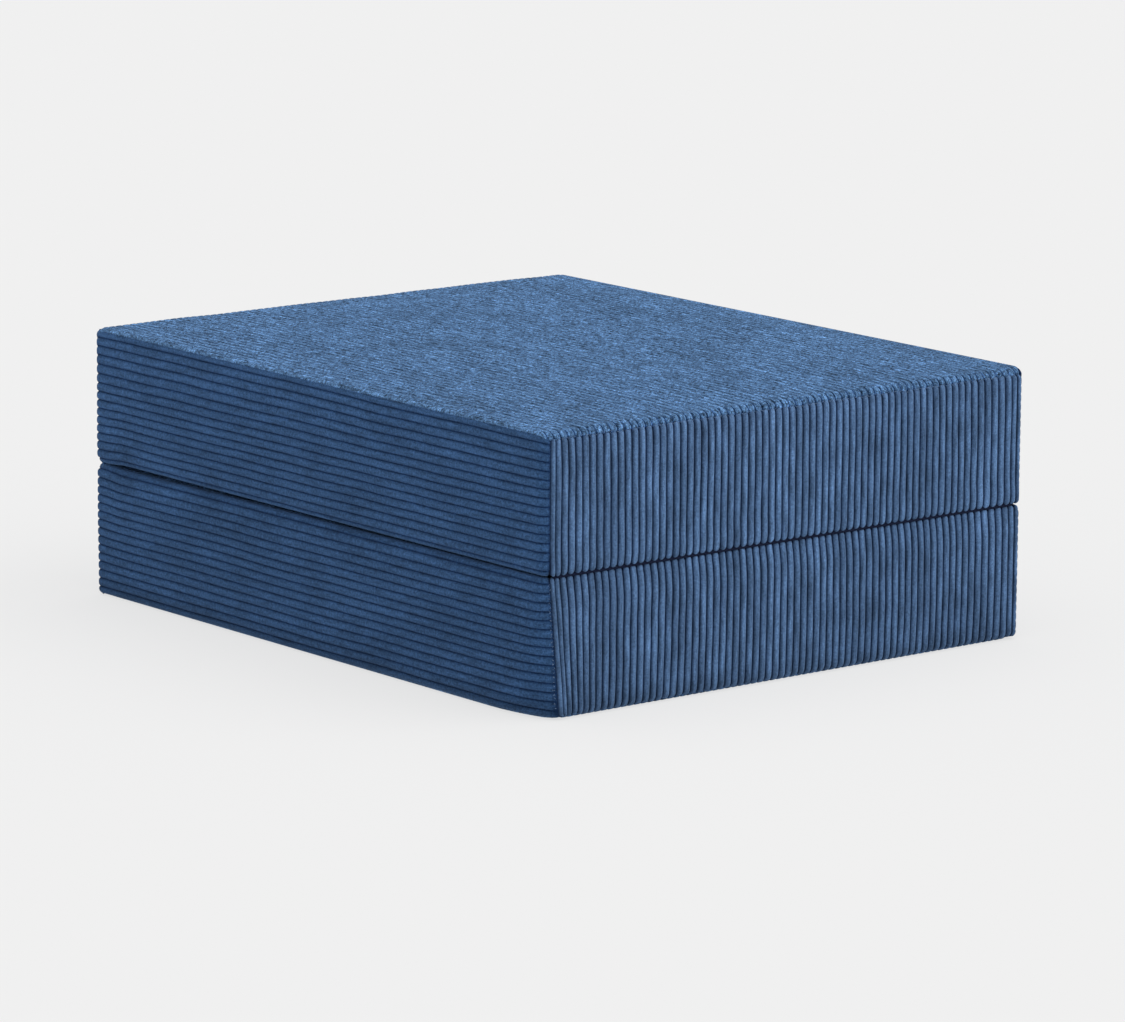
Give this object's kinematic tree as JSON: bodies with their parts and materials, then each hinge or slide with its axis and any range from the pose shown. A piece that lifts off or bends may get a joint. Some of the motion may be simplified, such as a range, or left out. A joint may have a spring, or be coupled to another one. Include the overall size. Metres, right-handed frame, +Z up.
{
  "type": "folding futon mattress",
  "caption": "Thick foam futon mattress in wide-rib corduroy, folded in half along a sewn edge, with zipped removable covers.",
  "frame": {"origin": "middle of the underside of the lower layer, with the mattress folded and lying on the floor", "axes": "+Z up; +X from the zipped ends towards the fold; +Y along the fold, from the front band to the back band"},
  "size_m": [0.9646, 0.8, 0.36],
  "materials": {
    "corduroy_top": "matte",
    "corduroy_hinge_wall": "matte",
    "corduroy_band": "matte",
    "fold_tape": "matte",
    "foam_core": "matte",
    "comfort_foam": "matte",
    "liner_cloth": "matte",
    "zip_tape": "matte",
    "zip_teeth": "satin",
    "zip_metal": "satin"
  },
  "bodies": {
    "lower_layer": {"lower_outer_panel": "corduroy_top", "lower_inner_panel": "corduroy_top", "lower_hinge_wall": "corduroy_hinge_wall", "lower_front_band": "corduroy_band", "lower_back_band": "corduroy_band", "lower_end_wall_outer": "corduroy_band", "lower_end_wall_inner": "corduroy_band", "lower_foam_core": "foam_core", "lower_comfort_layer": "comfort_foam", "lower_foam_liner": "liner_cloth", "lower_zip_tape_outer": "zip_tape", "lower_zip_tape_inner": "zip_tape", "lower_zip_teeth_outer": "zip_teeth", "lower_zip_teeth_inner": "zip_teeth", "lower_zip_stop_start": "zip_metal", "lower_zip_stop_end": "zip_metal", "fold_tape": "fold_tape"},
    "upper_layer": {"upper_outer_panel": "corduroy_top", "upper_inner_panel": "corduroy_top", "upper_hinge_wall": "corduroy_hinge_wall", "upper_front_band": "corduroy_band", "upper_back_band": "corduroy_band", "upper_end_wall_outer": "corduroy_band", "upper_end_wall_inner": "corduroy_band", "upper_foam_core": "foam_core", "upper_comfort_layer": "comfort_foam", "upper_foam_liner": "liner_cloth", "upper_zip_tape_outer": "zip_tape", "upper_zip_tape_inner": "zip_tape", "upper_zip_teeth_outer": "zip_teeth", "upper_zip_teeth_inner": "zip_teeth", "upper_zip_stop_start": "zip_metal", "upper_zip_stop_end": "zip_metal"},
    "lower_slider": {"lower_zip_slider": "zip_metal"},
    "lower_pull": {"lower_zip_pull": "zip_metal"},
    "upper_slider": {"upper_zip_slider": "zip_metal"},
    "upper_pull": {"upper_zip_pull": "zip_metal"}
  },
  "joints": [
    {"name": "fold_hinge", "type": "hinge", "parent": "lower_layer", "child": "upper_layer", "pos_m": [0.483, 0, 0.18], "axis": [0, 1, 0], "range_deg": [0, 180]},
    {"name": "lower_zip_slide", "type": "slide", "parent": "lower_layer", "child": "lower_slider", "axis": [0, 1, 0], "range_m": [0, 0.7]},
    {"name": "upper_zip_slide", "type": "slide", "parent": "upper_layer", "child": "upper_slider", "axis": [0, 1, 0], "range_m": [0, 0.7]},
    {"name": "lower_pull_hinge", "type": "hinge", "parent": "lower_slider", "child": "lower_pull", "pos_m": [-0.4821, -0.35, 0.08925], "axis": [0, 0, 1], "range_deg": [0, 180]},
    {"name": "upper_pull_hinge", "type": "hinge", "parent": "upper_slider", "child": "upper_pull", "pos_m": [-0.4821, -0.35, 0.27075], "axis": [0, 0, 1], "range_deg": [0, 180]}
  ]
}
